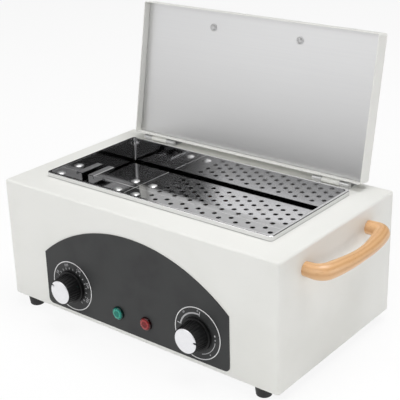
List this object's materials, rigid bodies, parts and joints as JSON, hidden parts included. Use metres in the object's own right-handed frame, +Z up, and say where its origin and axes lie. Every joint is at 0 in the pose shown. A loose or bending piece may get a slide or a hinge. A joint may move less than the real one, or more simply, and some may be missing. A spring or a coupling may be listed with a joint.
{
  "type": "dry heat sterilizer",
  "caption": "Bench-top dry heat sterilizer: white steel case, stainless chamber with lift-out perforated tray, hinged lid, dial controls and wooden handles.",
  "frame": {"origin": "centre of the case's footprint, on the surface that the feet stand on", "axes": "+X to the right seen from the front, +Y to the back, +Z up"},
  "size_m": [0.4278, 0.2806, 0.3093],
  "materials": {
    "white_enamel": "white powder coat, satin",
    "fascia_print": "charcoal print, satin",
    "mirror_steel": "mirror-finish stainless steel",
    "brushed_steel": "brushed stainless steel",
    "zinc_steel": "zinc-plated steel",
    "polished_steel": "nickel plate",
    "knob_plastic": "black moulded plastic",
    "dial_cap": "spun aluminium",
    "beech": "clear-lacquered beech",
    "black_rubber": "black rubber",
    "green_lens": "green translucent lens",
    "red_lens": "red translucent lens",
    "holder_plastic": "black nylon",
    "control_steel": "plated steel control",
    "heater_steel": "heat-tinted tubular heater",
    "wool": "ceramic fibre blanket",
    "copper": "bright copper",
    "block_ceramic": "ivory moulding",
    "lead_sleeve": "silicone-glass sleeve"
  },
  "bodies": {
    "case": {"base_plate": "zinc_steel", "base_screws": "zinc_steel", "bulb_clips": "zinc_steel", "capillary_tube": "copper", "case_hinge_rivets": "polished_steel", "case_shell": "white_enamel", "chamber_liner": "mirror_steel", "control_screws": "zinc_steel", "cord_gland": "holder_plastic", "cutout_lead": "lead_sleeve", "fascia_plate": "fascia_print", "foot_front_left": "black_rubber", "foot_front_right": "black_rubber", "foot_rear_left": "black_rubber", "foot_rear_right": "black_rubber", "foot_screws": "zinc_steel", "green_lamp_body": "holder_plastic", "green_lamp_lens": "green_lens", "heater_brackets": "zinc_steel", "heater_nuts": "zinc_steel", "heating_element": "heater_steel", "lamp_clips": "zinc_steel", "left_hinge_fixed_leaf": "polished_steel", "left_hinge_pin": "polished_steel", "left_side_handle": "beech", "liner_insulation": "wool", "red_lamp_body": "holder_plastic", "red_lamp_lens": "red_lens", "right_hinge_fixed_leaf": "polished_steel", "right_hinge_pin": "polished_steel", "right_side_handle": "beech", "sensor_bulb": "copper", "side_handle_screws": "zinc_steel", "side_handle_washers": "zinc_steel", "terminal_block": "block_ceramic", "thermal_cutout": "zinc_steel", "thermostat_body": "control_steel", "thermostat_lead": "lead_sleeve", "timer_body": "control_steel", "timer_lead": "lead_sleeve"},
    "lid": {"left_hinge_moving_leaf": "polished_steel", "lid_handle": "beech", "lid_handle_screws": "polished_steel", "lid_handle_washers": "polished_steel", "lid_hinge_rivets": "polished_steel", "lid_insulation": "wool", "lid_panel": "brushed_steel", "lid_shell": "white_enamel", "right_hinge_moving_leaf": "polished_steel"},
    "thermostat_dial": {"thermostat_shaft": "zinc_steel", "thermostat_knob": "knob_plastic", "thermostat_knob_cap": "dial_cap"},
    "timer_dial": {"timer_shaft": "zinc_steel", "timer_knob": "knob_plastic", "timer_knob_cap": "dial_cap"},
    "tray": {"perforated_tray": "mirror_steel", "tray_strap_left": "mirror_steel", "tray_strap_right": "mirror_steel"}
  },
  "joints": [
    {"name": "lid_hinge", "type": "hinge", "parent": "case", "child": "lid", "pos_m": [0, 0.0829, 0.1529], "axis": [1, 0, 0], "range_deg": [0, 100]},
    {"name": "thermostat_turn", "type": "hinge", "parent": "case", "child": "thermostat_dial", "pos_m": [-0.0855, -0.1068, 0.0472], "axis": [0, 1, 0], "range_deg": [-76, 194]},
    {"name": "timer_turn", "type": "hinge", "parent": "case", "child": "timer_dial", "pos_m": [0.0855, -0.1068, 0.0472], "axis": [0, 1, 0], "range_deg": [-85, 245]},
    {"name": "tray_lift", "type": "slide", "parent": "case", "child": "tray", "axis": [0, 0, 1], "range_m": [0, 0.016]}
  ]
}
